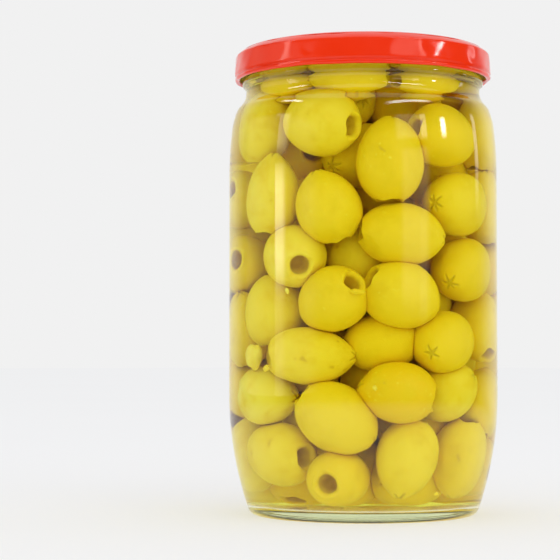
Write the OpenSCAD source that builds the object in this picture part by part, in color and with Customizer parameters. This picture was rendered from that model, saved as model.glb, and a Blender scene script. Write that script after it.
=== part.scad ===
// Jar of olives: a round glass jar filled with olives in brine, shut by a
// pressed steel lug cap. The jar stands on its bearing ring at z = 0, and its
// axis is Z. Outlines are drawn in the (radius, height) half plane.

/* [Glass body] */
// Outer diameter of the straight part of the body
body_d = 88.8; // [86:0.2:92]
// Thickness of the side wall
wall_t = 2.3; // [2:0.1:2.8]
// Height of the neck's narrowest point above the bearing ring
neck_h = 139.8; // [132:0.2:148]
// How far the heel draws in below the straight body
heel_in = 6.3; // [5.4:0.1:7]
// Lean of the heel just above the base, in degrees from vertical
heel_lean = 19; // [16:1:22]
// Radius of the outer corner between the heel and the bearing ring
corner_r = 3.2; // [2.6:0.1:3.8]

/* [Glass base] */
// Height of the inside floor at its edge
floor_h = 3.8; // [3.4:0.1:4.6]
// Rise of the inside floor towards its middle
floor_rise = 0.8; // [0.4:0.1:1.2]
// Radius of the inside corner between the floor and the wall
inner_corner_r = 6; // [4:0.5:8]
// Width of the flat bearing ring
ring_w = 4.2; // [3:0.1:5]
// Height of the hollow under the base, inside the bearing ring
push_up = 1; // [0.6:0.1:1.4]
// Further rise of that hollow towards its middle
push_up_crown = 1; // [0.6:0.1:1.4]

/* [Glass finish] */
// Outer diameter of the finish, above the neck
finish_d = 79.2; // [78.8:0.1:79.6]
// Height of the rim above the neck's narrowest point
finish_h = 13.8; // [13.2:0.1:14.4]
// Radius of the transfer bead's round, between the neck and the cap
bead_r = 1.5; // [1.3:0.1:1.7]
// Number of thread leads, and of lugs on the cap
leads = 6; // [4:1:6]
// Angle that one thread lead covers, in degrees
lead_sweep = 44; // [36:1:48]
// Lean of a thread lead from the level
lead_lean = 2.2; // [1.8:0.1:2.4]
// How far a thread lead stands out of the finish
lead_out = 1.2; // [1:0.1:1.3]

/* [Cap] */
// Outer diameter of the cap's skirt
cap_d = 85.6; // [85:0.1:87]
// Height of the cap
cap_h = 10.7; // [10.2:0.1:11]
// Thickness of the steel sheet
sheet_t = 0.5; // [0.4:0.05:0.6]
// Outer radius of the rounded edge between the skirt and the top
cap_edge_r = 3.2; // [2.6:0.1:3.6]
// Depth of the sunk middle panel below the cap's raised rim
panel_drop = 0.9; // [0.6:0.1:1]
// Diameter of the raised button in the middle of the panel
button_d = 26; // [20:1:32]
// Height of the button
button_h = 0.4; // [0.2:0.1:0.6]
// Height of the rolled lower edge
curl_h = 1.8; // [1.6:0.1:2]
// Width of one lug, in degrees round the cap
lug_sweep = 13; // [10:1:16]
// Turn of the shut cap's lugs past the middle of the thread leads
cap_turn = 5; // [-10:1:10]
// How far a lug reaches in past the rolled edge
lug_in = 0.7; // [0.5:0.1:0.8]

/* [Filling] */
// Gap between the brine and the panel of the cap
headspace = 3; // [2:0.1:3.5]

/* [Hidden] */

$fn = 96;
bend_step = 6;

body_r = body_d / 2;
finish_r = finish_d / 2;
cap_r = cap_d / 2;

// Bends of the shoulder from the straight body up to the neck. Each is
// [radius, lean at its end]: a lean is the angle from vertical towards the
// axis, and a radius is negative where the glass curves back outwards.
shoulder = [[120, 7], [26, 20], [5, 46], [-7, 0]];

// Shift made by one bend that starts at lean0.
function bend_shift(radius, lean0, lean1) =
    radius * [cos(lean1) - cos(lean0), sin(lean1) - sin(lean0)];

// Shift made by all the bends of a list, from bend i on.
function total_shift(bends, lean = 0, i = 0) =
    i == len(bends) ? [0, 0] :
    bend_shift(bends[i][0], lean, bends[i][1])
    + total_shift(bends, bends[i][1], i + 1);

// Points of a run of bends from point p, without p itself.
function follow(p, lean, bends, i = 0) =
    i == len(bends) ? [] :
    let (radius = bends[i][0],
         last = bends[i][1],
         steps = ceil(abs(last - lean) / bend_step),
         arc = [for (k = [1:steps])
             p + bend_shift(radius, lean, lean + (last - lean) * k / steps)])
    concat(arc, follow(p + bend_shift(radius, lean, last), last, bends, i + 1));

// The same run of bends on the inner face of a wall, walked back downwards.
function inner_bends(bends, t) =
    [for (i = [len(bends) - 1:-1:0])
        [t - bends[i][0], 180 + (i == 0 ? 0 : bends[i - 1][1])]];

// Heel, walked upwards from the bearing ring.
heel_r = heel_in / (1 - cos(heel_lean));
heel = [[corner_r, -heel_lean], [heel_r, 0]];
ring_r = body_r - heel_in - corner_r * cos(heel_lean);
ring_inner_r = ring_r - ring_w;
hollow_r = ring_inner_r - push_up;

// Shoulder and neck.
neck_shift = total_shift(shoulder);
neck_r = body_r + neck_shift[0];
shoulder_h = neck_h - neck_shift[1];
bore_r = neck_r - wall_t;

// Finish: it flares out of the neck into the bead, and runs up to the rim.
bead_lean = 50;
flare_r = 2;
bead_fillet_r = 0.6;
bead_bends = [[-flare_r, -bead_lean], [bead_r, bead_lean], [-bead_fillet_r, 0]];
rim_h = neck_h + finish_h;
rim_r = (finish_r - bore_r) / 2;
lead_h = rim_h - 5.4;
lead_root = 0.8;
lead_root_w = 2.8;
lead_crest_w = 1;

// Inside of the heel and the floor.
inner_heel_r = heel_r - wall_t;
inner_heel = [[-inner_heel_r, 180 - heel_lean], [-inner_corner_r, 90]];
inner_heel_shift = total_shift(inner_heel, 180);
inner_heel_h = floor_h - inner_heel_shift[1];
floor_r = body_r - wall_t + inner_heel_shift[0];
floor_steps = 6;

// Cap: the underside of its raised rim lies on the glass rim.
cap_top = rim_h + sheet_t;
cap_bottom = cap_top - cap_h;
curl_r = curl_h / 2;
slope_w = 2;
panel_r = bore_r - slope_w - 0.2;
button_slope_w = 1.5;
edge_step = 15;
lug_h = 1.2;
lug_tip_h = 0.8;
lug_r = cap_r - curl_h - lug_in;
lug_top = cap_bottom + curl_h;

// Outside of the glass, from the edge of the bearing ring up to the rim.
function glass_outside() =
    let (ring = [ring_r, 0],
         body_top = [body_r, shoulder_h],
         neck = [neck_r, neck_h],
         finish_foot = [finish_r, neck_h + total_shift(bead_bends)[1]],
         rim_foot = [finish_r, rim_h - rim_r])
    concat([ring], follow(ring, -90, heel), [body_top],
           follow(body_top, 0, shoulder), follow(neck, 0, bead_bends),
           [finish_foot, rim_foot], follow(rim_foot, 0, [[rim_r, 180]]));

// Inside of the glass, from the bore down to the edge of the floor.
function glass_inside() =
    let (bore = [bore_r, neck_h],
         body_top = [body_r - wall_t, shoulder_h],
         heel_top = [body_r - wall_t, inner_heel_h])
    concat([bore], follow(bore, 180, inner_bends(shoulder, wall_t)),
           [heel_top], follow(heel_top, 180, inner_heel));

// The gentle dome of the inside floor, from its edge in to the axis.
function floor_dome() =
    [for (i = [1:floor_steps]) let (s = 1 - i / floor_steps)
        [floor_r * s, floor_h + floor_rise * (1 - s * s)]];

// The hollow under the base, from the axis out to the bearing ring.
function base_hollow() =
    concat([for (i = [0:floor_steps]) let (s = i / floor_steps)
               [hollow_r * s, push_up + push_up_crown * (1 - s * s)]],
           [[ring_inner_r, 0]]);

// One thread lead: a ridge that follows the finish at a slight lean.
module thread_lead() {
    rotate([lead_lean, 0, 0])
        rotate([0, 0, -lead_sweep / 2])
            rotate_extrude(angle = lead_sweep)
                polygon([[finish_r - lead_root, -lead_root_w / 2],
                         [finish_r + lead_out, -lead_crest_w / 2],
                         [finish_r + lead_out, lead_crest_w / 2],
                         [finish_r - lead_root, lead_root_w / 2]]);
}

// The glass jar with its thread leads.
module jar() {
    color([0.84, 0.92, 0.86, 0.4])
        union() {
            rotate_extrude()
                polygon(concat(base_hollow(), glass_outside(),
                               glass_inside(), floor_dome()));
            for (i = [0:leads - 1])
                rotate([0, 0, i * 360 / leads])
                    translate([0, 0, lead_h])
                        thread_lead();
        }
}

// Upper face of the cap from the axis out to the rounded edge, where t is
// how far the line lies below the sheet's upper face.
function cap_top_line(t) =
    let (panel_h = cap_top - panel_drop - t,
         button_r = button_d / 2)
    [[0, panel_h + button_h],
     [button_r - button_slope_w, panel_h + button_h],
     [button_r, panel_h],
     [panel_r, panel_h],
     [panel_r + slope_w, cap_top - t]];

// Rounded edge of the cap, walked from the top down to the skirt.
function cap_edge(t) =
    [for (a = [90:-edge_step:0])
        [cap_r - cap_edge_r + (cap_edge_r - t) * cos(a),
         cap_top - cap_edge_r + (cap_edge_r - t) * sin(a)]];

function reversed(points) = [for (i = [len(points) - 1:-1:0]) points[i]];

// One lug: the rolled edge pressed in under a thread lead.
module lug() {
    rotate([0, 0, -lug_sweep / 2])
        rotate_extrude(angle = lug_sweep)
            polygon([[lug_r, lug_top - lug_tip_h],
                     [cap_r - curl_r, lug_top - lug_h],
                     [cap_r - curl_r, lug_top],
                     [lug_r, lug_top]]);
}

// The steel cap: panel, rounded edge, skirt, rolled lower edge and lugs.
module lid() {
    color([0.93, 0.17, 0.06])
        union() {
            rotate_extrude()
                polygon(concat(cap_top_line(0), cap_edge(0),
                               [[cap_r, cap_bottom + curl_r],
                                [cap_r - sheet_t, cap_bottom + curl_r]],
                               reversed(cap_edge(sheet_t)),
                               reversed(cap_top_line(sheet_t))));
            rotate_extrude()
                translate([cap_r - curl_r, cap_bottom + curl_r])
                    circle(r = curl_r, $fn = 24);
            for (i = [0:leads - 1])
                rotate([0, 0, cap_turn + i * 360 / leads])
                    lug();
        }
}

// Brine with the olives in it: one solid that fills the glass.
module filling() {
    fill_h = cap_top - panel_drop - sheet_t - headspace;
    color([0.84, 0.74, 0.12])
        rotate_extrude()
            polygon(concat([[0, fill_h], [bore_r, fill_h]],
                           glass_inside(), floor_dome()));
}

jar();
lid();
filling();
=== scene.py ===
import math
import bpy
import numpy as np
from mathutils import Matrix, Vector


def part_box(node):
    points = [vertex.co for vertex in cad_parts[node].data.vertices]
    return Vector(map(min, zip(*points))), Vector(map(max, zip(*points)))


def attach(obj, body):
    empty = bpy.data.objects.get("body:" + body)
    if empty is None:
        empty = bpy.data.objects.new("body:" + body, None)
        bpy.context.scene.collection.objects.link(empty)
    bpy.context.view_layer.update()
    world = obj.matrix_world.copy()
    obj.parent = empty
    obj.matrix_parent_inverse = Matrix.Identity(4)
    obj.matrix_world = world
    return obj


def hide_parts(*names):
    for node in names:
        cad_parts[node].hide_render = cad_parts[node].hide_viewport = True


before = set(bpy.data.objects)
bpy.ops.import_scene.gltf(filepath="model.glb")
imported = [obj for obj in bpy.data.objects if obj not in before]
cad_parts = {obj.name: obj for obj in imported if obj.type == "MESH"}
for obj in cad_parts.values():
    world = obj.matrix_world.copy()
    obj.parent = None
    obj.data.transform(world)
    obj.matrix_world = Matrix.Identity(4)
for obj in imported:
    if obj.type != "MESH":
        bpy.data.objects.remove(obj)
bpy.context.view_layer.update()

# A jar of pitted olives in brine. The glass, the brine, the olives and the red
# twist-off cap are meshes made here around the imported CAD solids, in metres.

MM = 0.001
SEED = 21

# ---------------------------------------------------------------- frame values
jar_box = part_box("jar")
lid_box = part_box("lid")
fill_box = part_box("filling")
body_r = jar_box[1].x
rim_h = jar_box[1].z
cap_r = lid_box[1].x
cap_bottom = lid_box[0].z
cap_top = lid_box[1].z
fill_h = fill_box[1].z

# Glass, as in the CAD outline. A bend is (radius, lean at its end): the lean is
# the angle from vertical towards the axis, in degrees.
wall_t = 2.3 * MM
heel_in = 6.3 * MM
heel_lean = 19
corner_r = 3.2 * MM
floor_h = 3.8 * MM
floor_rise = 0.8 * MM
inner_corner_r = 6 * MM
ring_w = 4.2 * MM
push_up = 1 * MM
push_up_crown = 1 * MM
finish_r = 39.6 * MM
finish_h = 13.8 * MM
neck_h = rim_h - finish_h
SHOULDER = ((120 * MM, 7), (26 * MM, 20), (5 * MM, 46), (-7 * MM, 0))
BEAD = ((-2 * MM, -50), (1.5 * MM, 50), (-0.6 * MM, 0))
LEADS = 6
LEAD_SWEEP = math.radians(44)
LEAD_LEAN = math.tan(math.radians(2.2))
lead_h = rim_h - 5.4 * MM
lead_half = 1.4 * MM
lead_out = 1.2 * MM

# How far the brine reaches into the glass, so that no air gap shows
brine_into_wall = 0.12 * MM
# Clear gap that an olive keeps from the glass
olive_gap = 0.25 * MM


# --------------------------------------------------------------------- outlines
def bend_shift(radius, lean0, lean1):
    """Shift (radius, height) made by one bend that starts at lean0."""
    a, b = math.radians(lean0), math.radians(lean1)
    return radius * np.array([math.cos(b) - math.cos(a), math.sin(b) - math.sin(a)])


def total_shift(bends, lean=0):
    """Shift made by all the bends of a list."""
    shift = np.zeros(2)
    for radius, last in bends:
        shift = shift + bend_shift(radius, lean, last)
        lean = last
    return shift


def follow(start, lean, bends, step):
    """Points (radius, height) of a run of bends, without its start, at most step apart."""
    points = []
    here = np.array(start, float)
    for radius, last in bends:
        length = abs(radius * math.radians(last - lean))
        count = max(3, int(math.ceil(length / step)), int(math.ceil(abs(last - lean) / 9)))
        for k in range(1, count + 1):
            points.append(here + bend_shift(radius, lean, lean + (last - lean) * k / count))
        here = here + bend_shift(radius, lean, last)
        lean = last
    return points


def straight(a, b, step):
    """Points on the straight line from a to b, without a."""
    a, b = np.array(a, float), np.array(b, float)
    count = max(1, int(math.ceil(np.linalg.norm(b - a) / step)))
    return [a + (b - a) * k / count for k in range(1, count + 1)]


def inner_bends(bends, wall):
    """The same run of bends on the inner face of a wall, walked back downwards."""
    leans = [0] + [lean for _, lean in bends]
    return [(wall - bends[i][0], 180 + leans[i]) for i in reversed(range(len(bends)))]


heel_r = heel_in / (1 - math.cos(math.radians(heel_lean)))
ring_r = body_r - heel_in - corner_r * math.cos(math.radians(heel_lean))
neck_r = body_r + total_shift(SHOULDER)[0]
shoulder_h = neck_h - total_shift(SHOULDER)[1]
bore_r = neck_r - wall_t
finish_foot = neck_h + total_shift(BEAD)[1]
rim_r = (finish_r - bore_r) / 2
INNER_HEEL = ((wall_t - heel_r, 180 - heel_lean), (-inner_corner_r, 90))
inner_heel_h = floor_h - total_shift(INNER_HEEL, 180)[1]
floor_r = body_r - wall_t + total_shift(INNER_HEEL, 180)[0]
# Longest piece of the heel's outline
HEEL_STEP = 1.6 * MM


def glass_outside():
    """Outline of the outside, from the middle of the base up to the top of the rim."""
    hollow_r = ring_r - ring_w - push_up
    hollow = [np.array([hollow_r * s, push_up + push_up_crown * (1 - s * s)])
              for s in np.linspace(0, 1, 12)]
    ring_in = [np.array([ring_r - ring_w, 0.0])]
    ring = straight(ring_in[0], (ring_r, 0), ring_w / 2)
    heel = follow((ring_r, 0), -90, ((corner_r, -heel_lean), (heel_r, 0)), HEEL_STEP)
    body = straight(heel[-1], (body_r, shoulder_h), 4 * MM)
    shoulder = follow((body_r, shoulder_h), 0, SHOULDER, 1 * MM)
    bead = follow((neck_r, neck_h), 0, BEAD, 0.3 * MM)
    finish = straight(bead[-1], (finish_r, rim_h - rim_r), 0.35 * MM)
    rim = follow((finish_r, rim_h - rim_r), 0, ((rim_r, 90),), 0.3 * MM)
    return hollow + ring_in + ring + heel + body + shoulder + bead + finish + rim


def glass_inside():
    """Outline of the inside, from the top of the rim down to the middle of the floor."""
    top = (bore_r + rim_r, rim_h)
    rim = follow(top, 90, ((rim_r, 180),), 0.3 * MM)
    bore = straight(rim[-1], (bore_r, neck_h), 1 * MM)
    shoulder = follow((bore_r, neck_h), 180, inner_bends(SHOULDER, wall_t), 1 * MM)
    body = straight(shoulder[-1], (body_r - wall_t, inner_heel_h), 4 * MM)
    heel = follow(body[-1], 180, INNER_HEEL, HEEL_STEP)
    floor = [np.array([floor_r * s, floor_h + floor_rise * (1 - s * s)])
             for s in np.linspace(1, 0, 14)[1:]]
    return rim + bore + shoulder + body + heel + floor


INSIDE = np.array(glass_inside())


def inner_radius(height):
    """Radius of the glass's inside at a height."""
    line = INSIDE[::-1]
    line = line[line[:, 0] > floor_r * 0.98]
    return np.interp(height, line[:, 1], line[:, 0])


def wall_wave(azimuth, height):
    """Unevenness of the inner face of blown glass, in metres. It fades out at the rim and the floor."""
    fade = np.clip((rim_h - height) / (18 * MM), 0, 1) * np.clip(height / (9 * MM), 0, 1)
    wave = (0.5 * np.sin(2 * azimuth + height / (31 * MM))
            + 0.3 * np.sin(3 * azimuth - height / (17 * MM) + 1.2)
            + 0.2 * np.sin(5 * azimuth + height / (11 * MM) + 2.5))
    return 0.16 * MM * fade * wave


# ----------------------------------------------------------------- mesh helpers
def new_object(name, points, faces, material):
    mesh = bpy.data.meshes.new(name)
    mesh.from_pydata([tuple(p) for p in points], [], faces)
    mesh.materials.append(material)
    mesh.polygons.foreach_set("use_smooth", np.ones(len(mesh.polygons), bool))
    mesh.update()
    obj = bpy.data.objects.new(name, mesh)
    bpy.context.scene.collection.objects.link(obj)
    return obj


def lathe_points(outline, azimuths, shift=None):
    """Points of a turned shape whose outline starts and ends on the axis. shift(azimuth, radius, height)
    gives how far each point moves out and up."""
    outline = np.asarray(outline)
    inner = outline[1:-1]
    az = np.asarray(azimuths)[None, :]
    radius = np.repeat(inner[:, 0][:, None], az.shape[1], axis=1)
    height = np.repeat(inner[:, 1][:, None], az.shape[1], axis=1)
    if shift is not None:
        dr, dz = shift(np.broadcast_to(az, radius.shape), radius, height)
        radius, height = radius + dr, height + dz
    ring = np.stack([radius * np.sin(az), -radius * np.cos(az), height], axis=-1)
    first = np.array([[0, 0, outline[0, 1]]])
    last = np.array([[0, 0, outline[-1, 1]]])
    return np.concatenate([first, ring.reshape(-1, 3), last])


def lathe_faces(rows, around):
    """Faces of a turned shape: rows rings of around points each, between its two poles."""
    faces = []
    for k in range(around):
        faces.append((0, 1 + (k + 1) % around, 1 + k))
    for row in range(rows - 1):
        a, b = 1 + row * around, 1 + (row + 1) * around
        for k in range(around):
            n = (k + 1) % around
            faces.append((a + k, a + n, b + n, b + k))
    last = 1 + (rows - 1) * around
    pole = 1 + rows * around
    for k in range(around):
        faces.append((last + k, last + (k + 1) % around, pole))
    return faces


def lathe(name, outline, azimuths, material, shift=None):
    """A turned piece."""
    points = lathe_points(outline, azimuths, shift)
    faces = lathe_faces(len(outline) - 2, len(azimuths))
    return new_object(name, points, faces, material)


def set_value(piece, name, values):
    """Stores a number for each point of a mesh, which its material reads."""
    layer = piece.data.attributes.new(name, "FLOAT", "POINT")
    layer.data.foreach_set("value", np.asarray(values, np.float32))


# -------------------------------------------------------------------- materials
def tree_of(name):
    material = bpy.data.materials.new(name)
    material.use_nodes = True
    tree = material.node_tree
    tree.nodes.clear()
    return material, tree, tree.nodes.new("ShaderNodeOutputMaterial")


def add(tree, kind, settings=None, **inputs):
    """A node with its settings and input values, where _2 is input number 2. An input that is a socket is
    linked."""
    node = tree.nodes.new(kind)
    for key, value in (settings or {}).items():
        setattr(node, key, value)
    for key, value in inputs.items():
        socket = node.inputs[int(key[1:])] if key[1:].isdigit() else node.inputs[key.replace("_", " ")]
        if isinstance(value, bpy.types.NodeSocket):
            tree.links.new(value, socket)
        else:
            socket.default_value = value
    return node


def mix_colour(tree, factor, a, b):
    node = add(tree, "ShaderNodeMix", {"data_type": "RGBA"})
    for socket, value in ((node.inputs[0], factor), (node.inputs[6], a), (node.inputs[7], b)):
        if isinstance(value, bpy.types.NodeSocket):
            tree.links.new(value, socket)
        else:
            socket.default_value = value
    return node.outputs[2]


def ramp(tree, factor, low, high):
    """0 below low and 1 above high, with a soft change between."""
    node = add(tree, "ShaderNodeMapRange", {"interpolation_type": "SMOOTHSTEP"}, Value=factor)
    node.inputs["From Min"].default_value = low
    node.inputs["From Max"].default_value = high
    return node.outputs["Result"]


def noise(tree, scale, detail=2.0, roughness=0.5):
    place = add(tree, "ShaderNodeTexCoord")
    node = add(tree, "ShaderNodeTexNoise", None, Vector=place.outputs["Object"], Scale=scale,
               Detail=detail, Roughness=roughness)
    return node.outputs[0]


def attribute(tree, name):
    return add(tree, "ShaderNodeAttribute", {"attribute_name": name}).outputs["Fac"]


def lamps_pass(tree, surface):
    """Lets shadow rays and diffuse rays pass straight, so that what is behind the glass is lit evenly."""
    path = add(tree, "ShaderNodeLightPath")
    clear = add(tree, "ShaderNodeBsdfTransparent")
    for ray in ("Is Shadow Ray", "Is Diffuse Ray"):
        mix = add(tree, "ShaderNodeMixShader", None, _0=path.outputs[ray], _1=surface, _2=clear.outputs[0])
        surface = mix.outputs[0]
    return surface


def clear_material(name, ior, tint, absorbed, wave_scale, wave_depth):
    """Glass or brine. absorbed is what a metre takes off in red, green and blue. Where the mesh's wet value
    is 1, glass and brine meet, and that face hardly mirrors."""
    material, tree, out = tree_of(name)
    bump = add(tree, "ShaderNodeBump", None, Height=noise(tree, wave_scale, 1.0), Distance=wave_depth,
               Strength=1.0)
    surface = add(tree, "ShaderNodeBsdfPrincipled", None, Roughness=0.0, IOR=ior,
                  Transmission_Weight=1.0, Base_Color=(*tint, 1.0), Normal=bump.outputs[0])
    mirrors = mix_colour(tree, attribute(tree, "wet"), (1, 1, 1, 1), (0, 0, 0, 1))
    tree.links.new(mirrors, surface.inputs["Specular Tint"])
    tree.links.new(lamps_pass(tree, surface.outputs[0]), out.inputs["Surface"])
    density = max(absorbed) * 1.02
    colour = [1 - a / density for a in absorbed]
    volume = add(tree, "ShaderNodeVolumeAbsorption", None, Color=(*colour, 1.0), Density=density)
    tree.links.new(volume.outputs[0], out.inputs["Volume"])
    return material


def glass_material():
    return clear_material("clear_glass", ior=1.5, tint=(1.0, 1.0, 1.0), absorbed=(2.4, 1.2, 8.0),
                          wave_scale=45, wave_depth=0.04 * MM)


def brine_material():
    return clear_material("brine", ior=1.34, tint=(0.995, 0.985, 0.93), absorbed=(2.0, 2.4, 46.0),
                          wave_scale=30, wave_depth=0.01 * MM)


def olive_material():
    """Skin of pickled olives. The tone of each olive, its bore and its cuts come from the mesh. Down the
    bore and in the cuts the colour is painted darker: painted shade in these hollows, on top of the flesh's
    own colour in the bore.
    """
    material, tree, out = tree_of("olive_skin")
    tone = attribute(tree, "tone")
    skin = mix_colour(tree, tone, (0.885, 0.725, 0.020, 1), (0.85, 0.60, 0.004, 1))
    skin = mix_colour(tree, ramp(tree, tone, 0.0, 0.3), (0.89, 0.785, 0.085, 1), skin)
    cloud = noise(tree, 130, 3.0, 0.6)
    skin = mix_colour(tree, ramp(tree, cloud, 0.42, 0.78), skin, (0.81, 0.62, 0.006, 1))
    fine = noise(tree, 900, 2.0, 0.6)
    skin = mix_colour(tree, ramp(tree, fine, 0.62, 0.8), skin, (0.90, 0.80, 0.06, 1))
    spots = noise(tree, 260, 1.0, 0.5)
    skin = mix_colour(tree, ramp(tree, spots, 0.74, 0.8), skin, (0.72, 0.52, 0.015, 1))
    # the star cut's grooves are painted darker: painted shade in the grooves
    cut = attribute(tree, "cut")
    skin = mix_colour(tree, ramp(tree, cut, 0.2, 1.0), skin, (0.66, 0.51, 0.010, 1))
    # down the bore the skin gives way to a darker flesh colour: the flesh's own colour, with painted shade
    # that deepens towards the bottom of the bore
    depth = attribute(tree, "bore")
    torn = noise(tree, 380, 2.0)
    flesh = mix_colour(tree, ramp(tree, torn, 0.3, 0.7), (0.76, 0.57, 0.06, 1), (0.62, 0.42, 0.035, 1))
    skin = mix_colour(tree, ramp(tree, depth, 0.3, 1.0), skin, flesh)
    relief = add(tree, "ShaderNodeBump", None, Height=noise(tree, 700, 3.0, 0.6), Distance=0.12 * MM,
                 Strength=0.6)
    surface = add(tree, "ShaderNodeBsdfPrincipled", None, Base_Color=skin, Roughness=0.45,
                  Normal=relief.outputs[0])
    surface.inputs["Specular IOR Level"].default_value = 0.12
    surface.inputs["Subsurface Weight"].default_value = 0.22
    surface.inputs["Subsurface Radius"].default_value = (1.0, 0.75, 0.12)
    surface.inputs["Subsurface Scale"].default_value = 0.0025
    tree.links.new(surface.outputs[0], out.inputs["Surface"])
    return material


def lacquer_material():
    """Glossy red lacquer on tinplate, with a faint unevenness of the sheet, and a pale lining inside."""
    material, tree, out = tree_of("red_lacquer")
    cloud = noise(tree, 60, 3.0)
    red = mix_colour(tree, ramp(tree, cloud, 0.3, 0.7), (0.93, 0.036, 0.004, 1), (0.89, 0.030, 0.002, 1))
    red = mix_colour(tree, attribute(tree, "lining"), red, (0.62, 0.56, 0.36, 1))
    rough = add(tree, "ShaderNodeMapRange", None, Value=noise(tree, 300, 4.0))
    rough.inputs["To Min"].default_value = 0.07
    rough.inputs["To Max"].default_value = 0.15
    relief = add(tree, "ShaderNodeBump", None, Height=noise(tree, 160, 2.0), Distance=0.06 * MM,
                 Strength=0.5)
    surface = add(tree, "ShaderNodeBsdfPrincipled", None, Base_Color=red, Roughness=rough.outputs[0],
                  Normal=relief.outputs[0])
    tree.links.new(surface.outputs[0], out.inputs["Surface"])
    return material


# ------------------------------------------------------------------------ glass
def glass_azimuths():
    """Even steps round the jar, with a few more at the two mould seams."""
    even = np.arange(0, 2 * math.pi, math.radians(2))
    seam = np.radians([88.9, 89.5, 90.5, 91.1, 268.9, 269.5, 270.5, 271.1])
    return np.unique(np.round(np.concatenate([even, seam]), 6))


def glass_shift(azimuth, radius, height, is_inside):
    """How far the glass's outline moves out: waves inside, and seams and thread leads outside."""
    dr = np.where(is_inside, wall_wave(azimuth, height), 0.0)
    outside = ~is_inside & (radius > ring_r)
    seam = np.minimum(abs(azimuth - math.pi / 2), abs(azimuth - 3 * math.pi / 2))
    on_body = outside & (height > 3 * MM) & (height < finish_foot)
    dr = dr + np.where(on_body, 0.05 * MM * np.clip(1 - seam / math.radians(0.9), 0, 1), 0)
    step = 2 * math.pi / LEADS
    start = np.mod(azimuth + math.pi / 2 + LEAD_SWEEP / 2, step)
    along = (start - LEAD_SWEEP / 2) * finish_r
    climb = (height - lead_h - along * LEAD_LEAN) / lead_half
    ends = np.clip(np.minimum(start, LEAD_SWEEP - start) / math.radians(3), 0, 1)
    ridge = np.clip(1.6 * (1 - climb * climb), 0, 1) * ends
    return dr + np.where(outside & (height > finish_foot), lead_out * ridge, 0)


def over_rings(values, around):
    """A value for each outline point, repeated round each ring of the turned piece."""
    return np.concatenate([values[:1], np.repeat(values[1:-1], around), values[-1:]])


def make_glass():
    outside, inside = glass_outside(), glass_inside()
    outline = np.array(outside + inside)
    split = len(outside)
    rows = len(outline) - 2
    inner_row = (np.arange(1, rows + 1) >= split)[:, None]

    def shift(azimuth, radius, height):
        is_inside = np.broadcast_to(inner_row, radius.shape)
        return glass_shift(azimuth, radius, height, is_inside), 0.0

    glass = lathe("jar_glass", outline, glass_azimuths(), glass_material(), shift)
    wet = (np.arange(len(outline)) >= split) & (outline[:, 1] < fill_h)
    set_value(glass, "wet", over_rings(wet, len(glass_azimuths())))
    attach(glass, "root")
    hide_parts("jar")
    return glass


# ------------------------------------------------------------------------ brine
def make_brine():
    """Brine up to its level under the cap. Its side lies just inside the glass wall."""
    side = np.array([p for p in glass_inside() if p[1] < fill_h - 0.4 * MM])
    slope = np.gradient(side, axis=0)
    slope /= np.linalg.norm(slope, axis=1)[:, None]
    pushed = side + brine_into_wall * np.stack([-slope[:, 1], slope[:, 0]], axis=1)
    pushed[-1, 0] = 0
    level_r = pushed[0, 0]
    meniscus = [np.array([level_r * s, fill_h - 0.9 * MM + 0.9 * MM * s ** 24]) for s in
                (0, 0.3, 0.6, 0.8, 0.9, 0.95, 0.98, 1.0)]
    outline = np.array(meniscus + list(pushed))[::-1]

    def shift(azimuth, radius, height):
        on_wall = radius > floor_r * 0.5
        return np.where(on_wall & (height < fill_h - 0.3 * MM), wall_wave(azimuth, height), 0.0), 0.0

    brine = lathe("brine", outline, glass_azimuths(), brine_material(), shift)
    wet = np.arange(len(outline)) < len(pushed)
    set_value(brine, "wet", over_rings(wet, len(glass_azimuths())))
    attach(brine, "root")
    return brine
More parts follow.
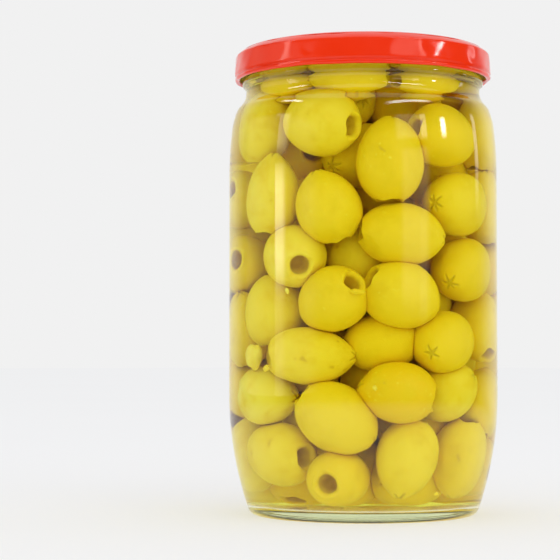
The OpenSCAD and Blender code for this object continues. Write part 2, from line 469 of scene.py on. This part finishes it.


# ----------------------------------------------------------------------- olives
# The olives that lie against the glass at the front and sides and in the neck.
# Each row: azimuth in degrees (0 faces the front, positive to the right), height,
# length and width in mm, which end is aimed ("bore" or "star"), its turn from
# straight up (clockwise as seen from outside) and its lean outwards in degrees,
# how far it lies in from the glass in mm, and its tone (0 pale to 1 ochre). The
# olives on the left get paler tones: painted light for the whiter light that
# falls on that side, on top of each olive's own tone.
FRONT_OLIVES = (
    (-23, 125.5, 24.5, 20.5, "bore", 97, 11, 0, 0.2),
    (14.5, 113.5, 27.5, 20, "star", 2, -3, 0, 0.5),
    (46, 122, 23, 19.5, "bore", -79, -5, 0, 0.55),
    (-66, 126, 24, 19, "star", 8, -5, 1, 0.15),
    (-53, 103.5, 26.5, 18, "star", 6, 0, 0, 0.15),
    (-18, 99, 23, 19.4, "bore", 163, -8, 0, 0.3),
    (21, 90.5, 26, 19.8, "star", 96, 14, 0, 0.45),
    (57.5, 101, 24, 20.3, "star", -91, 5, 0, 0.25),
    (-39, 84, 23, 19.4, "bore", 116, 42, 0, 0.15),
    (63.5, 79.8, 23, 20.3, "star", -113, 9, 0, 0.45),
    (-16, 70, 23, 20, "bore", 55, 28, 0, 0.35),
    (21, 71.5, 24, 21, "bore", -62, 0, 0, 0.3),
    (-58, 66.5, 24, 20, "star", 0, 0, 3, 0.15),
    (46, 56.5, 23, 20, "star", -109, 32, 0, 0.4),
    (-31, 52.3, 27.3, 18.4, "star", 91, -22, 0, 0.2),
    (19, 41, 23.5, 19.5, "bore", 100, 10, 0, 0.9),
    (-15, 33, 26, 20.5, "star", 126, -10, 0, 0.3),
    (-60, 39.5, 22, 18.5, "star", 95, -25, 0, 0.0),
    (-54, 21.6, 24.5, 19.5, "bore", 94, -4, 0, 0.2),
    (-15, 14.5, 22, 18, "bore", -140, 75, 0, 0.35),
    (25, 21, 24.5, 18.4, "bore", 13, -6, 0, 0.22),
    (65.5, 20.5, 25, 18.5, "bore", 5, 10, 0, 0.3),
    (54, 41, 21, 18, "star", 48, 40, 3, 0.15),
    (88, 124, 24, 19, "star", 5, 5, 0, 0.3),
    (89, 101, 25, 19, "bore", 170, 0, 0, 0.3),
    (84, 62, 25, 19, "bore", 200, 25, 0, 0.4),
    (84, 37, 23, 19, "star", 20, 0, 0, 0.5),
    (-93, 104, 23, 19, "bore", 60, 45, 0, 0.2),
    (-88, 82.5, 23, 19, "bore", 80, 40, 0, 0.3),
    (-84, 61, 25, 19, "star", 10, 10, 0, 0.3),
    (-89, 21, 24, 19, "star", 10, 0, 0, 0.15),
    (-7, 141, 25, 18, "bore", 91, 0, 0, 0.4),
    (42, 140, 23, 17.5, "star", 85, 10, 0, 0.4),
    (-50, 140, 22, 17, "star", 95, 0, 0, 0.5),
    (13, 56.5, 22.5, 18.5, "star", 78, 10, 8.5, 0.35),
)
OLIVE_COUNT = 98
# How many spheres stand for an olive while it settles
HOLD_SPHERES = 5
# How far in from the glass the loose olives keep at the front
BEHIND = 9 * MM


def local_frame(azimuth):
    """Outward, sideways (to the right as seen from outside) and up at an azimuth, in radians."""
    outward = np.array([math.sin(azimuth), -math.cos(azimuth), 0.0])
    sideways = np.array([math.cos(azimuth), math.sin(azimuth), 0.0])
    return outward, sideways, np.array([0.0, 0.0, 1.0])


def aimed(azimuth, turn, lean):
    """Direction of an olive's end from its turn and its lean outwards, in degrees."""
    outward, sideways, up = local_frame(azimuth)
    turn, lean = math.radians(turn), math.radians(lean)
    return math.sin(lean) * outward + math.cos(lean) * (math.sin(turn) * sideways + math.cos(turn) * up)


def sphere_samples(count):
    """Directions spread evenly over a sphere."""
    k = np.arange(count) + 0.5
    height = 1 - 2 * k / count
    angle = k * math.pi * (3 - math.sqrt(5))
    ring = np.sqrt(1 - height ** 2)
    return np.stack([ring * np.cos(angle), ring * np.sin(angle), height], axis=1)


DIRECTIONS = sphere_samples(90)


def shell_points(olive):
    """Points on an olive's surface."""
    axis = olive["axis"]
    along = DIRECTIONS @ axis
    half_l, half_w = olive["length"] / 2, olive["width"] / 2
    stretched = DIRECTIONS * half_w + np.outer(along * (half_l - half_w), axis)
    return olive["place"] + stretched


def keep_inside(olive, share=1.0):
    """Moves an olive back where it reaches out of the room inside the glass. A loose one keeps behind those
    that are held at the front."""
    points = shell_points(olive)
    radius = np.hypot(points[:, 0], points[:, 1])
    room = inner_radius(points[:, 2]) - olive_gap
    if not olive["held"]:
        front = np.clip(1.4 * (-points[:, 1] / np.maximum(radius, 1e-6) + 0.35), 0, 1)
        room = room - BEHIND * front
    over = radius - room
    worst = int(np.argmax(over))
    if over[worst] > 0:
        inward = -np.array([points[worst, 0], points[worst, 1], 0]) / radius[worst]
        olive["place"] = olive["place"] + inward * over[worst] * share
    low = floor_h + floor_rise + olive_gap - points[:, 2].min()
    if low > 0:
        olive["place"] = olive["place"] + np.array([0, 0, low * share])
    high = points[:, 2].max() - (fill_h - 1.2 * MM)
    if high > 0:
        olive["place"] = olive["place"] - np.array([0, 0, high * share])


def front_olives():
    olives = []
    for row in FRONT_OLIVES:
        azimuth, height, length, width, end, turn, lean, depth, tone = row
        azimuth = math.radians(azimuth)
        outward = local_frame(azimuth)[0]
        axis = aimed(azimuth, turn, lean) * (1 if end == "bore" else -1)
        olive = {"length": length * MM, "width": width * MM, "axis": axis, "tone": tone, "held": True}
        start_r = inner_radius(height * MM) - width * MM / 2 + 3 * MM
        olive["place"] = outward * start_r + np.array([0, 0, height * MM])
        for _ in range(12):
            keep_inside(olive)
            olive["place"][2] = height * MM
        olive["place"] = olive["place"] - outward * depth * MM
        olives.append(olive)
    return olives


def loose_olives(chance, count):
    """Olives of chance size at chance places, which settle later."""
    olives = []
    for _ in range(count):
        axis = chance.normal(size=3)
        azimuth = chance.uniform(0, 2 * math.pi)
        radius = 32 * MM * math.sqrt(chance.uniform(0.0, 1.0))
        height = chance.uniform(12 * MM, fill_h - 12 * MM)
        width = chance.uniform(18, 20.5) * MM
        olives.append({
            "length": width * chance.uniform(1.14, 1.36), "width": width,
            "axis": axis / np.linalg.norm(axis), "tone": chance.uniform(0.1, 0.8), "held": False,
            "place": np.array([radius * math.sin(azimuth), -radius * math.cos(azimuth), height]),
        })
    return olives


def settle(olives, rounds):
    """Pushes overlapping olives apart while they sink. Each is a short row of spheres; held ones stay."""
    count = len(olives)
    half_l = np.array([o["length"] / 2 for o in olives])
    half_w = np.array([o["width"] / 2 for o in olives])
    reach = (half_l ** 2 - half_w ** 2) / half_l
    slots = np.linspace(-1, 1, HOLD_SPHERES)
    offset = reach[:, None] * slots[None, :]
    focus = np.sqrt(np.maximum(half_l ** 2 - half_w ** 2, 1e-12))
    sphere_r = half_w[:, None] * np.sqrt(np.clip(1 - (offset / focus[:, None]) ** 2, 0.05, 1))
    owner = np.repeat(np.arange(count), HOLD_SPHERES)
    size = sphere_r.ravel()
    free = np.array([0.0 if o["held"] else 1.0 for o in olives])
    mobile = free[owner][:, None]
    both = mobile + free[owner][None, :]
    share = np.divide(mobile, both, out=np.zeros_like(both), where=both > 0)
    same = owner[:, None] == owner[None, :]
    for turn in range(rounds):
        sink = 0.12 * MM * max(0.0, 1 - 1.5 * turn / rounds)
        place = np.array([o["place"] for o in olives])
        axis = np.array([o["axis"] for o in olives])
        centre = (place[:, None, :] + offset[:, :, None] * axis[:, None, :]).reshape(-1, 3)
        apart = centre[:, None, :] - centre[None, :, :]
        gap = np.sqrt((apart ** 2).sum(-1)) + 1e-9
        over = np.clip(size[:, None] + size[None, :] - gap, 0, None)
        over[same] = 0
        push = (apart / gap[..., None]) * (over * share)[..., None]
        hits = (over > 0).sum(1).reshape(count, -1).sum(1)
        total = push.sum(1).reshape(count, HOLD_SPHERES, 3)
        lever = offset[:, :, None] * axis[:, None, :]
        twist = np.cross(lever, total).sum(1) / (half_l ** 2)[:, None]
        for k, olive in enumerate(olives):
            if olive["held"] or hits[k] == 0:
                continue
            olive["place"] = olive["place"] + 1.1 * total[k].sum(0) / hits[k]
            turned = olive["axis"] + np.cross(twist[k], olive["axis"]) * 1.5 / hits[k]
            olive["axis"] = turned / np.linalg.norm(turned)
        for olive in olives:
            if not olive["held"]:
                olive["place"][2] -= sink
                keep_inside(olive, 0.9)
    return olives


# Rings of an olive's mesh: close together at the star cut, then even over the
# skin, then round the lip and down the bore.
AROUND = 52
STAR_ROWS = 11
SKIN_ROWS = 25
LIP_ROWS = 5
BORE_ROWS = 7


def olive_shape(olive, chance):
    """Points of one olive about the origin with its bore end up, and its bore and cut values."""
    half_l, half_w = olive["length"] / 2, olive["width"] / 2
    taper = chance.uniform(0.02, 0.10)
    tip = chance.uniform(0.2, 1.3) * MM
    bore = chance.uniform(3.0, 3.6) * MM
    lip = 1.0 * MM
    star_reach = 3.8 * MM
    first = math.asin(min(1, star_reach / half_w))
    last = math.pi - math.asin(min(1, (bore + lip) / half_w))
    lean = np.concatenate([np.linspace(0, first, STAR_ROWS + 1)[1:],
                           np.linspace(first, last, SKIN_ROWS + 1)[1:]])
    radius = half_w * np.sin(lean) * (1 - taper * np.cos(lean))
    height = -half_l * np.cos(lean)
    height = height - tip * np.exp(-(radius / (0.27 * half_w)) ** 2) * (height < 0)
    lip_r, lip_h = radius[-1], height[-1]
    around_lip = np.linspace(0.25 * math.pi, math.pi, LIP_ROWS + 1)[1:]
    lip_radius = (lip_r - lip) + lip * np.cos(around_lip - 0.25 * math.pi) * 0.9
    lip_height = lip_h + lip * (np.sin(around_lip) - math.sin(0.25 * math.pi))
    floor = half_l * 0.22
    down = np.linspace(0, 1, BORE_ROWS + 1)[1:]
    wide = bore * (1 - 0.42 * down)
    closing = np.clip((down - 0.75) / 0.25, 0, 1)
    bore_radius = wide * np.sqrt(np.clip(1 - closing ** 2, 0.02, 1))
    bore_height = lip_height[-1] + (floor - lip_height[-1]) * down
    rows_r = np.concatenate([radius, lip_radius, bore_radius])
    rows_h = np.concatenate([height, lip_height, bore_height])
    depth = np.concatenate([np.zeros(len(radius)), np.linspace(0.1, 0.5, LIP_ROWS),
                            np.linspace(0.7, 1, BORE_ROWS)])
    angle = np.arange(AROUND) * 2 * math.pi / AROUND
    points = np.stack([rows_r[:, None] * np.cos(angle), rows_r[:, None] * np.sin(angle),
                       np.repeat(rows_h[:, None], AROUND, axis=1)], axis=-1).reshape(-1, 3)
    bored = np.repeat(depth, AROUND)
    points = np.concatenate([[[0, 0, -half_l - tip]], points, [[0, 0, floor - 0.2 * MM]]])
    bored = np.concatenate([[0], bored, [1]])

    # star cut: grooves that meet at the pole
    arms = int(chance.integers(4, 7))
    first_arm = chance.uniform(0, 2 * math.pi)
    from_axis = np.hypot(points[:, 0], points[:, 1])
    turn = np.arctan2(points[:, 1], points[:, 0])
    cut = np.zeros(len(points))
    for k in range(arms):
        away = turn - first_arm - k * 2 * math.pi / arms - chance.uniform(-0.2, 0.2)
        beside = abs(np.sin(away)) * from_axis
        ahead = np.cos(away) > 0
        reach = chance.uniform(2.6, 3.5) * MM
        width = 0.95 * MM * np.clip(1.15 - from_axis / reach, 0.2, 1)
        across = np.clip(1 - (beside / width) ** 2, 0, 1)
        cut = np.maximum(cut, across * ahead * np.clip((reach - from_axis) / (0.5 * MM), 0, 1))
    cut = np.maximum(cut, np.clip(1 - from_axis / (0.5 * MM), 0, 1)) * (points[:, 2] < 0) * (bored < 0.05)
    points[:, 2] += cut * 0.65 * MM

    # flats from lying pressed together
    for _ in range(4):
        side = chance.normal(size=3) * np.array([1, 1, 0.7])
        side /= np.linalg.norm(side)
        furthest = math.hypot(half_w * math.hypot(side[0], side[1]), half_l * side[2])
        beyond = np.clip(points @ side - furthest * chance.uniform(0.90, 0.96), 0, None)
        points = points - np.outer(beyond * 0.55 * (bored < 0.5), side)

    # soft lumps and an uneven lip
    lumps = np.zeros(len(points))
    for _ in range(5):
        wave = chance.normal(size=3)
        wave /= np.linalg.norm(wave)
        lumps += np.sin(points @ wave / (chance.uniform(3.0, 6.5) * MM) + chance.uniform(0, 6.3)) / 5
    size = 0.42 * MM * np.where(bored > 0.6, 0.6, 1.0)
    normal = points / np.array([half_w, half_w, half_l]) ** 2
    normal /= np.linalg.norm(normal, axis=1)[:, None] + 1e-9
    points = points + normal * (lumps * size)[:, None]
    ragged = np.sin(3 * turn + chance.uniform(0, 6)) + np.sin(5 * turn + chance.uniform(0, 6)) * 0.6
    near_lip = np.exp(-((bored - 0.35) / 0.35) ** 2) * (bored > 0.05)
    points[:, 2] += ragged * near_lip * 0.32 * MM
    return points, bored, cut


def olive_faces():
    rows = STAR_ROWS + SKIN_ROWS + LIP_ROWS + BORE_ROWS
    return np.array([f if len(f) == 4 else (*f, -1) for f in lathe_faces(rows, AROUND)])


def axes_of(olive, chance):
    """Rotation whose third column is the olive's axis, with a chance spin about it."""
    axis = olive["axis"]
    side = np.cross(axis, [0.3, 0.5, 0.8])
    side /= np.linalg.norm(side)
    other = np.cross(axis, side)
    spin = chance.uniform(0, 2 * math.pi)
    first = math.cos(spin) * side + math.sin(spin) * other
    return np.stack([first, np.cross(axis, first), axis], axis=1)


def press(points, olive, neighbours):
    """Flattens an olive where it meets its neighbours and the glass."""
    for other in neighbours:
        away = points - other["place"]
        along = away @ other["axis"]
        beside = np.sqrt(np.maximum((away ** 2).sum(1) - along ** 2, 0))
        level = np.sqrt((along / (other["length"] / 2)) ** 2 + (beside / (other["width"] / 2)) ** 2)
        inside = level < 1
        if not inside.any():
            continue
        depth = (1 - level) * other["width"] / 2
        back = olive["place"] - other["place"]
        back = back / np.linalg.norm(back)
        share = 0.25 if olive["held"] and not other["held"] else 0.5
        points = points + np.where(inside, depth * share, 0)[:, None] * back
    radius = np.hypot(points[:, 0], points[:, 1])
    room = inner_radius(points[:, 2]) - 0.45 * olive_gap
    shrink = np.minimum(1, room / np.maximum(radius, 1e-6))
    points = points * np.stack([shrink, shrink, np.ones(len(points))], axis=1)
    points[:, 2] = np.clip(points[:, 2], floor_h + floor_rise + 0.1 * MM, fill_h - 1 * MM)
    return points


def join_olives(name, group, olives, chance, material):
    """One mesh with all the olives of a kind."""
    face_rows = olive_faces()
    parts, bores, cuts, tones, faces = [], [], [], [], []
    start = 0
    for olive in group:
        points, bored, cut = olive_shape(olive, chance)
        points = points @ axes_of(olive, chance).T + olive["place"]
        near = [o for o in olives if o is not olive
                and np.linalg.norm(o["place"] - olive["place"]) < (o["length"] + olive["length"]) / 2]
        points = press(points, olive, near)
        parts.append(points)
        bores.append(bored)
        cuts.append(cut)
        tones.append(np.full(len(points), olive["tone"]))
        faces += [tuple(int(i) + start for i in row if i >= 0) for row in face_rows]
        start += len(points)
    piece = new_object(name, np.concatenate(parts), faces, material)
    for key, values in (("bore", bores), ("cut", cuts), ("tone", tones)):
        set_value(piece, key, np.concatenate(values))
    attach(piece, "root")
    return piece


# Rings of one scrap's mesh, and points round each ring
SCRAP_ROWS = 15
SCRAP_AROUND = 24
# Torn-off bits of olive that lie in the brine. Each row: azimuth in degrees,
# height, how far in from the glass, length, width and thickness in mm, the turn
# of its length from straight up in degrees, and its tone.
SCRAPS = (
    (-58, 52.3, 0.3, 7.9, 6.8, 6.8, 12, 0.0),
    (-46, 48.4, 0.3, 2.8, 2.0, 1.4, 60, 0.2),
    (-34, 72.7, 0.3, 1.9, 1.4, 1.0, -30, 0.0),
    (38, 9.4, 0.3, 1.7, 1.3, 1.0, 80, 0.3),
    (5, 42.4, 0.2, 1.7, 1.3, 1.0, 0, 0.0),
    (-2.2, 72.2, 0.2, 5.0, 1.7, 1.2, 97, 0.6),
    (133, 60, 0.4, 5.2, 3.4, 2.2, 40, 0.3),
    (-150, 96, 0.4, 4.2, 2.6, 1.6, -70, 0.5),
)


def scrap_points(row, chance):
    azimuth, height, depth, length, width, thickness, turn, _ = row
    outward, sideways, up = local_frame(math.radians(azimuth))
    lean = np.linspace(0, math.pi, SCRAP_ROWS + 2)
    ball = np.stack([np.sin(lean), -np.cos(lean)], axis=1)
    points = lathe_points(ball, np.linspace(0, 2 * math.pi, SCRAP_AROUND, endpoint=False))
    lumps = np.zeros(len(points))
    for _ in range(7):
        lumps += np.sin(points @ chance.normal(size=3) * 3.2 + chance.uniform(0, 6.3)) / 7
    points = points * (1 + 0.35 * lumps)[:, None]
    turn = math.radians(turn)
    along = math.sin(turn) * sideways + math.cos(turn) * up
    beside = math.cos(turn) * sideways - math.sin(turn) * up
    place = outward * (inner_radius(height * MM) - (depth + thickness / 2) * MM) + up * height * MM
    stretched = (np.outer(points[:, 0], beside) * width + np.outer(points[:, 1], outward) * thickness
                 + np.outer(points[:, 2], along) * length)
    return place + stretched * MM / 2


def make_scraps(chance, material):
    parts = [scrap_points(row, chance) for row in SCRAPS]
    count = len(parts[0])
    one = lathe_faces(SCRAP_ROWS, SCRAP_AROUND)
    faces = [tuple(i + k * count for i in face) for k in range(len(parts)) for face in one]
    piece = new_object("olive_scraps", np.concatenate(parts), faces, material)
    set_value(piece, "bore", np.zeros(count * len(parts)))
    set_value(piece, "cut", np.zeros(count * len(parts)))
    set_value(piece, "tone", np.repeat([row[-1] for row in SCRAPS], count))
    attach(piece, "root")
    return piece


def make_olives():
    chance = np.random.default_rng(SEED)
    olives = front_olives()
    olives += loose_olives(chance, OLIVE_COUNT - len(olives))
    settle(olives, 160)
    plumpness = [o["length"] / o["width"] for o in olives]
    material = olive_material()
    kinds = (("olives_round", 0, 1.19), ("olives_oval", 1.19, 1.25), ("olives_egg", 1.25, 1.3),
             ("olives_long", 1.3, 9))
    pieces = []
    for name, low, high in kinds:
        group = [o for o, ratio in zip(olives, plumpness) if low <= ratio < high]
        pieces.append(join_olives(name, group, olives, chance, material))
    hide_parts("filling")
    pieces.append(make_scraps(chance, material))
    return pieces


# -------------------------------------------------------------------------- cap
# Turn of the cap's lugs past the thread leads, in degrees
CAP_TURN = 5
# Small dents in the skirt: azimuth in radians, height above the cap's lower
# edge, radius and depth
DENTS = (
    (-0.42, 4.4 * MM, 1.3 * MM, 0.22 * MM),
    (0.98, 5 * MM, 2 * MM, 0.12 * MM),
    (2.2, 5 * MM, 3 * MM, 0.15 * MM),
    (-1.9, 5.6 * MM, 2.4 * MM, 0.15 * MM),
)


def cap_outline():
    """Outlines of the cap: the outside from the middle of the panel down to the rolled edge, and the inside
    back up to the middle."""
    sheet = 0.28 * MM
    edge_h = 2.0 * MM
    curl = 0.8 * MM
    skirt_top = cap_top - edge_h
    curl_start = 200
    roll_centre = np.array([cap_r - curl, cap_bottom + curl])
    roll = [roll_centre + curl * np.array([math.cos(math.radians(a)), math.sin(math.radians(a))])
            for a in range(-curl_start, 61, 20)]
    groove = [np.array([cap_r - 0.42 * MM, cap_bottom + 1.95 * curl])]
    skirt_lean = 4
    skirt_foot = np.array([cap_r - 0.05 * MM, cap_bottom + 2.6 * curl])
    skirt_in = (skirt_top - 0.8 * MM - skirt_foot[1]) * math.tan(math.radians(skirt_lean))
    skirt_head = np.array([skirt_foot[0] - skirt_in, skirt_top - 0.8 * MM])
    skirt = [skirt_foot] + straight(skirt_foot, skirt_head, 0.9 * MM)
    corner = follow(skirt_head, skirt_lean, ((0.7 * MM, 48), (10 * MM, 73), (1.8 * MM, 110)), 0.25 * MM)
    top_shift = cap_top - max(p[1] for p in corner)
    corner = [p + np.array([0, top_shift]) for p in corner]
    skirt[-1][1] += top_shift
    panel_h = cap_top - 0.9 * MM
    panel_r = bore_r - 1.0 * MM
    slope = [np.array([panel_r + 1.0 * MM, cap_top - 0.45 * MM]), np.array([panel_r, panel_h + 0.05 * MM]),
             np.array([panel_r - 1.0 * MM, panel_h])]
    ring = [np.array([r, panel_h]) for r in np.linspace(panel_r - 3 * MM, 16 * MM, 8)]
    button = [np.array([13.6 * MM, panel_h + 0.04 * MM]), np.array([12.9 * MM, panel_h + 0.2 * MM]),
              np.array([12.0 * MM, panel_h + 0.36 * MM]), np.array([10.5 * MM, panel_h + 0.4 * MM]),
              np.array([5 * MM, panel_h + 0.4 * MM]), np.array([0, panel_h + 0.4 * MM])]
    outside = roll + groove + skirt + corner + slope + ring + button
    line = np.array(outside)
    way = np.gradient(line, axis=0)
    way /= np.linalg.norm(way, axis=1)[:, None]
    normal = np.stack([way[:, 1], -way[:, 0]], axis=1)
    inside = line - normal * sheet
    keep = np.arange(len(line)) > len(roll) // 2
    inside = inside[keep][::-1]
    inside[0, 0] = 0
    return line[::-1], inside[::-1]


def make_cap():
    outside, inside = cap_outline()
    outline = np.concatenate([outside, inside])
    lug_centres = [math.radians(CAP_TURN + k * 360 / LEADS) for k in range(LEADS)]

    def shift(azimuth, radius, height):
        low = np.clip(1 - (height - cap_bottom) / (3.2 * MM), 0, 1) * (radius > cap_r - 4 * MM)
        dr = np.zeros(azimuth.shape)
        dz = np.zeros(azimuth.shape)
        for centre in lug_centres:
            away = np.mod(azimuth - math.pi / 2 - centre + math.pi, 2 * math.pi) - math.pi
            press_in = np.exp(-(away / math.radians(6.5)) ** 2)
            dr = dr - 0.35 * MM * low * press_in
            dz = dz + 0.22 * MM * low * press_in
        side = (radius > cap_r - 3 * MM) & (height < cap_top - 0.5 * MM)
        dr = dr + side * 0.08 * MM * (np.sin(7 * azimuth + 0.6) + 0.8 * np.sin(12 * azimuth + 2.0)
                                     + 0.6 * np.sin(19 * azimuth + height / (2 * MM))
                                     + 0.4 * np.sin(31 * azimuth - height / (1.5 * MM)) - 2.8)
        for centre, level, size, deep in DENTS:
            away = (np.mod(azimuth - centre + math.pi, 2 * math.pi) - math.pi) * cap_r
            above = height - cap_bottom - level
            dr = dr - side * deep * np.exp(-(away ** 2 + above ** 2) / size ** 2)
        return dr, dz

    azimuths = np.arange(0, 2 * math.pi, math.radians(1.25))
    cap = lathe("cap", outline, azimuths, lacquer_material(), shift)
    lined = np.arange(len(outline)) > len(outside)
    set_value(cap, "lining", over_rings(lined, len(azimuths)))
    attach(cap, "root")
    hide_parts("lid")
    return cap


# ----------------------------------------------------------------------- studio
# Brightness of the pale room
WHITE = 0.88


def glow_material(name, radiance, colour, half_w, half_h, soft_w, soft_h):
    """Light of one panel, which fades out towards its edges."""
    material, tree, out = tree_of(name)
    place = add(tree, "ShaderNodeTexCoord")
    split = add(tree, "ShaderNodeSeparateXYZ", None, _0=place.outputs["Object"])
    level = None
    for axis, half, soft in (("X", half_w, soft_w), ("Z", half_h, soft_h)):
        off = add(tree, "ShaderNodeMath", {"operation": "ABSOLUTE"}, _0=split.outputs[axis])
        side = ramp(tree, off.outputs[0], half, half - soft)
        level = side if level is None else add(tree, "ShaderNodeMath", {"operation": "MULTIPLY"}, _0=level,
                                               _1=side).outputs[0]
    glow = add(tree, "ShaderNodeEmission", None, Color=(*colour, 1.0), Strength=radiance)
    clear = add(tree, "ShaderNodeBsdfTransparent")
    mix = add(tree, "ShaderNodeMixShader", None, _0=level, _1=clear.outputs[0], _2=glow.outputs[0])
    tree.links.new(mix.outputs[0], out.inputs["Surface"])
    return material


# Distance of the panels from the jar's axis, and the height that their
# elevations are counted from
PANEL_DISTANCE = 1.4
PANEL_AIM = 0.09


def panel(name, azimuth, elevation, radiance, soft, colour=(1, 1, 1)):
    """A glowing panel that faces the jar and shows only where the jar mirrors it. azimuth and elevation are
    (from, to) in degrees as the jar sees them: azimuth 0 is in front, and positive to the right. soft is the
    share of its half width and half height over which it fades out."""
    az = math.radians(sum(azimuth) / 2)
    low, high = (PANEL_AIM + PANEL_DISTANCE * math.tan(math.radians(e)) for e in elevation)
    half_w = PANEL_DISTANCE * math.tan(math.radians(azimuth[1] - azimuth[0]) / 2)
    half_h = (high - low) / 2
    points = [(-half_w, 0, -half_h), (half_w, 0, -half_h), (half_w, 0, half_h), (-half_w, 0, half_h)]
    material = glow_material(name, radiance, colour, half_w, half_h, soft[0] * half_w, soft[1] * half_h)
    obj = new_object(name, points, [(0, 1, 2, 3)], material)
    obj.location = (PANEL_DISTANCE * math.sin(az), -PANEL_DISTANCE * math.cos(az), (low + high) / 2)
    obj.rotation_euler = (0, 0, az)
    obj.visible_camera = False
    obj.visible_diffuse = False
    obj.visible_transmission = False
    obj.visible_shadow = False


def fill_lamp(name, azimuth, elevation, distance, width, height, radiance, colour):
    """A large soft lamp that faces the jar and isn't mirrored in it."""
    az, el = math.radians(azimuth), math.radians(elevation)
    lamp = bpy.data.lights.new(name, "AREA")
    lamp.shape = "RECTANGLE"
    lamp.size = width
    lamp.size_y = height
    # a lamp's power is spread over four times its area
    lamp.energy = 4 * width * height * radiance
    lamp.color = colour
    obj = bpy.data.objects.new(name, lamp)
    bpy.context.scene.collection.objects.link(obj)
    away = np.array([math.sin(az) * math.cos(el), -math.cos(az) * math.cos(el), math.sin(el)])
    obj.location = np.array([0, 0, PANEL_AIM]) + away * distance
    obj.rotation_euler = (math.radians(90) - el, 0, az)
    obj.visible_camera = False
    obj.visible_glossy = False
    obj.visible_transmission = False


# The floor gives off a share of its light, so that it stays as pale as the room
FLOOR_GLOW = 1.11
FLOOR_GLOW_SHARE = 0.3


def floor_material():
    material, tree, out = tree_of("pale_floor")
    grain = noise(tree, 3, 2.0)
    tone = mix_colour(tree, grain, (0.85, 0.855, 0.87, 1), (0.87, 0.875, 0.89, 1))
    paper = add(tree, "ShaderNodeBsdfDiffuse", None, Color=tone)
    glow = add(tree, "ShaderNodeEmission", None, Color=(1, 1, 1, 1), Strength=FLOOR_GLOW)
    mix = add(tree, "ShaderNodeMixShader", None, _0=FLOOR_GLOW_SHARE, _1=paper.outputs[0],
              _2=glow.outputs[0])
    tree.links.new(mix.outputs[0], out.inputs["Surface"])
    return material


def flag_material():
    """A dark room in front of the jar, which grows bright where the mesh's glow value is 1."""
    material, tree, out = tree_of("dark_flag")
    power = add(tree, "ShaderNodeMath", {"operation": "MULTIPLY_ADD"}, _0=attribute(tree, "glow"), _1=WHITE,
                _2=0.03)
    glow = add(tree, "ShaderNodeEmission", None, Color=(1, 1, 1, 1), Strength=power.outputs[0])
    tree.links.new(glow.outputs[0], out.inputs["Surface"])
    return material


def soft_step(value, low, high):
    """0 below low and 1 above high, with a soft change between."""
    share = np.clip((value - low) / (high - low), 0, 1)
    return share * share * (3 - 2 * share)


def make_flag():
    """A screen round the front and over the table there, which only mirrored rays meet. It grows bright
    towards its two ends, and on the table towards the jar."""
    half_turn, radius, top = math.radians(144), 2.2, 2.6
    table = 1 * MM
    rim = [(r, table) for r in (0.25, 0.35, 0.45, 0.55, 0.65, 0.75, 0.9, radius)] + [(radius, top)]
    steps = np.linspace(-half_turn, half_turn, 97)
    points = [(r * math.sin(a), -r * math.cos(a), z) for a in steps for r, z in rim]
    rows = len(rim)
    faces = [(rows * k + i, rows * k + rows + i, rows * k + rows + i + 1, rows * k + i + 1)
             for k in range(len(steps) - 1) for i in range(rows - 1)]
    flag = new_object("dark_flag", points, faces, flag_material())
    near = np.array([1 - soft_step(r, 0.25, 0.9) for r, _ in rim])
    side = soft_step(abs(np.degrees(steps)), 108, 144)
    set_value(flag, "glow", np.maximum(near[None, :], side[:, None]).ravel())
    flag.visible_camera = False
    flag.visible_diffuse = False
    flag.visible_transmission = False
    flag.visible_shadow = False


def make_studio():
    scene = bpy.context.scene
    world = bpy.data.worlds.new("studio")
    scene.world = world
    world.use_nodes = True
    background = world.node_tree.nodes["Background"]
    background.inputs["Color"].default_value = (1, 1, 1, 1)
    background.inputs["Strength"].default_value = WHITE
    half = 6.0
    floor = new_object("floor", [(-half, -half, 0), (half, -half, 0), (half, half, 0), (-half, half, 0)],
                       [(0, 1, 2, 3)], floor_material())
    make_flag()
    cream = (1.0, 0.93, 0.82)
    panel("side_left", (-88, -66), (0.5, 7.5), 5.6, (0.5, 0.6), cream)
    panel("side_left_high", (-85, -64), (8, 26), 3.4, (0.6, 0.5), cream)
    panel("ceiling_left", (-92, -60), (38, 43), 11.0, (0.5, 0.5))
    panel("side_left_low", (-90, -65), (-7, 3), 1.5, (0.6, 0.5), cream)
    panel("side_left_wide", (-125, -34), (-8, 24), 0.6, (0.45, 0.3), cream)
    panel("side_right", (30, 59.5), (-0.5, 12), 0.9, (0.42, 0.4), cream)
    panel("side_right_line", (47, 55.5), (-0.5, 12), 1.2, (0.45, 0.3), cream)
    panel("side_right_high", (26, 54), (13, 24), 1.5, (0.4, 0.4), cream)
    panel("ceiling_right", (20, 74), (38, 43), 11.0, (0.5, 0.5))
    panel("side_right_edge", (50, 57), (13, 24), 4.0, (0.4, 0.4), cream)
    panel("window_right", (69.5, 77), (13, 21), 26.0, (0.85, 0.8))
    panel("strip_right", (109, 115), (4, 22), 2.5, (0.4, 0.4))
    fill_lamp("fill_front", 30, 30, 1.6, 1.8, 1.3, 0.42, (1, 0.99, 0.96))


def make_camera():
    """A camera in front of the jar, at about a third of its height, which looks slightly up."""
    data = bpy.data.cameras.new("camera")
    data.sensor_width = 36
    data.lens = 120
    camera = bpy.data.objects.new("camera", data)
    bpy.context.scene.collection.objects.link(camera)
    camera.location = (0, -0.6207, 0.0532)
    camera.rotation_euler = (math.radians(92.24), 0, math.radians(2.54))
    bpy.context.scene.camera = camera


def set_light_paths():
    scene = bpy.context.scene
    scene.view_settings.view_transform = "Standard"
    scene.cycles.max_bounces = 24
    scene.cycles.transmission_bounces = 16
    scene.cycles.diffuse_bounces = 10
    scene.cycles.glossy_bounces = 6
    scene.cycles.transparent_max_bounces = 40
    scene.cycles.volume_bounces = 0


make_camera()
make_studio()
set_light_paths()
make_glass()
make_brine()
make_olives()
make_cap()
